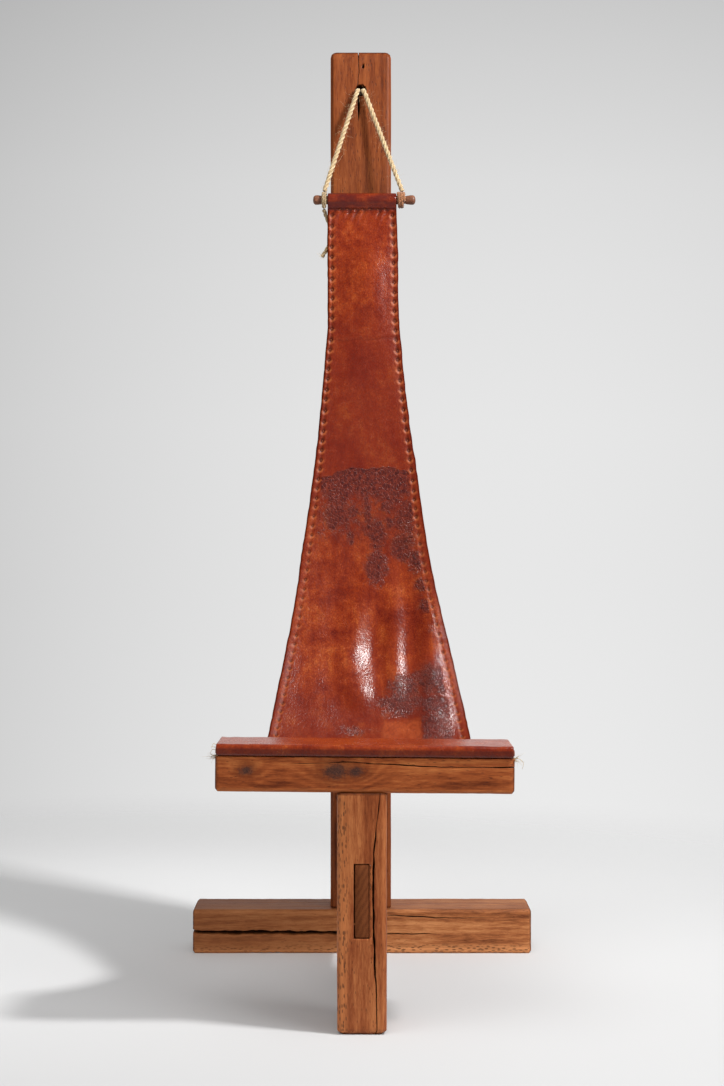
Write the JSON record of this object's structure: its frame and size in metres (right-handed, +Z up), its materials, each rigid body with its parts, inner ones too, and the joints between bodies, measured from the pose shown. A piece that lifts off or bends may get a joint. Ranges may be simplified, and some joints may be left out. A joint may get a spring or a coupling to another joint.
{
  "type": "sling lounge chair",
  "caption": "Tall armless lounge chair: a stitched leather sling hangs by rope and toggle rod from a heavy timber post and wraps over a timber seat beam.",
  "frame": {"origin": "centre of the bounding box's bottom face, on the floor between the front leg and the rear crossbeam", "axes": "+Z up; +Y from the front leg to the rear crossbeam; +X to the right as seen from the front"},
  "size_m": [0.568, 0.655, 1.517],
  "materials": {
    "post_timber": "oiled reddish hardwood",
    "pale_timber": "oiled hardwood with paler sapwood",
    "peg_timber": "dark end grain",
    "rod_timber": "whittled and handled smooth",
    "leather": "glossy, worn and crackled",
    "thread": "waxed",
    "sisal": "hairy laid rope"
  },
  "bodies": {
    "frame": {"rear_crossbeam": "pale_timber", "rear_post": "post_timber", "front_leg": "pale_timber", "seat_beam": "pale_timber", "stretcher": "pale_timber", "post_peg": "peg_timber", "seat_beam_peg": "peg_timber", "stretcher_peg_front_lower": "peg_timber", "stretcher_peg_front_upper": "peg_timber", "stretcher_peg_rear_lower": "peg_timber", "stretcher_peg_rear_upper": "peg_timber", "sling": "leather", "edge_lacing_left": "thread", "edge_lacing_right": "thread", "sleeve_stitching": "thread", "hem_cord": "sisal", "rope_knot": "sisal"},
    "bail": {"rope_strand_left": "sisal", "rope_strand_right": "sisal", "rope_wrap_left": "sisal", "rope_wrap_right": "sisal", "rope_tail": "sisal"},
    "toggle": {"toggle_rod": "rod_timber"}
  },
  "joints": [
    {"name": "bail_swing", "type": "hinge", "parent": "frame", "child": "bail", "pos_m": [-0.002, 0.2329, 1.45], "axis": [1, 0, 0], "range_deg": [-14, 6], "deforming": ["sling", "edge_lacing_left", "edge_lacing_right", "sleeve_stitching", "rope_strand_left", "rope_strand_right"]},
    {"name": "toggle_roll", "type": "hinge", "parent": "bail", "child": "toggle", "pos_m": [0.0038, 0.1956, 1.26], "axis": [1, 0, 0], "range_deg": [-40, 40]}
  ]
}
